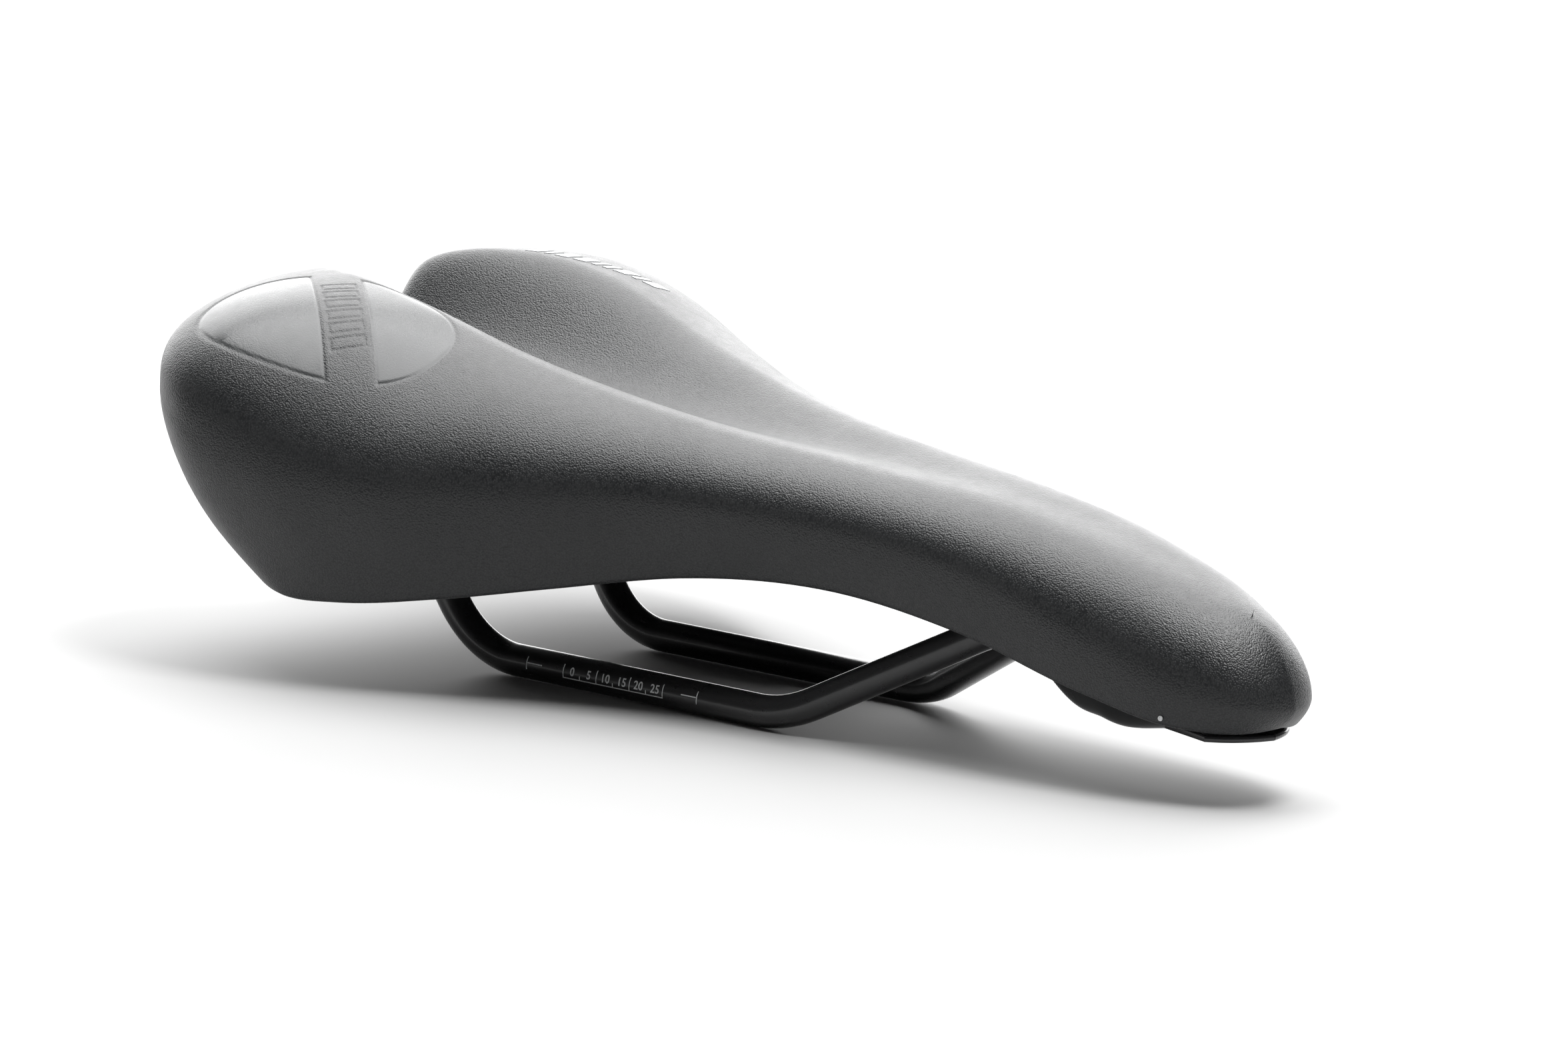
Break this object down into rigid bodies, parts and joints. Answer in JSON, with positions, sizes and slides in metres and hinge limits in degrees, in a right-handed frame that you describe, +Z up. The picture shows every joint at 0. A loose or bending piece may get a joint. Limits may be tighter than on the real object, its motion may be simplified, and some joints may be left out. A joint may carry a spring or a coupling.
{
  "type": "bicycle saddle",
  "caption": "Bicycle saddle with a slim nose, two rounded wings and a centre channel, a foam pad on a plastic shell, and a bent rod rail under it.",
  "frame": {"origin": "centre of the seat clamp's place: midway between the two straight runs of the rail, at the height of their centrelines", "axes": "+X towards the nose, along the straight runs of the rail; +Y towards the rider's left; +Z up"},
  "size_m": [0.2793, 0.1456, 0.0806],
  "materials": {
    "cover_skin": "charcoal grained synthetic leather, satin",
    "foam": "grey polyurethane foam",
    "shell_plastic": "black moulded nylon, fine texture",
    "socket_plastic": "black moulded plastic, glossy",
    "rail_paint": "black paint on steel rod, semi-gloss",
    "screw_steel": "dark steel",
    "staple_steel": "bright steel wire"
  },
  "bodies": {
    "root": {"cover": "cover_skin", "foam_pad": "foam", "base_shell": "shell_plastic", "rail": "rail_paint", "rear_socket_left": "socket_plastic", "rear_socket_right": "socket_plastic", "nose_socket": "socket_plastic", "screw_left_inner": "screw_steel", "screw_left_outer": "screw_steel", "screw_right_inner": "screw_steel", "screw_right_outer": "screw_steel", "screw_nose_front": "screw_steel", "screw_nose_rear": "screw_steel", "staple_left_01": "staple_steel", "staple_left_02": "staple_steel", "staple_left_03": "staple_steel", "staple_left_04": "staple_steel", "staple_left_05": "staple_steel", "staple_left_06": "staple_steel", "staple_left_07": "staple_steel", "staple_left_08": "staple_steel", "staple_left_09": "staple_steel", "staple_left_10": "staple_steel", "staple_right_01": "staple_steel", "staple_right_02": "staple_steel", "staple_right_03": "staple_steel", "staple_right_04": "staple_steel", "staple_right_05": "staple_steel", "staple_right_06": "staple_steel", "staple_right_07": "staple_steel", "staple_right_08": "staple_steel", "staple_right_09": "staple_steel", "staple_right_10": "staple_steel"}
  },
  "joints": []
}
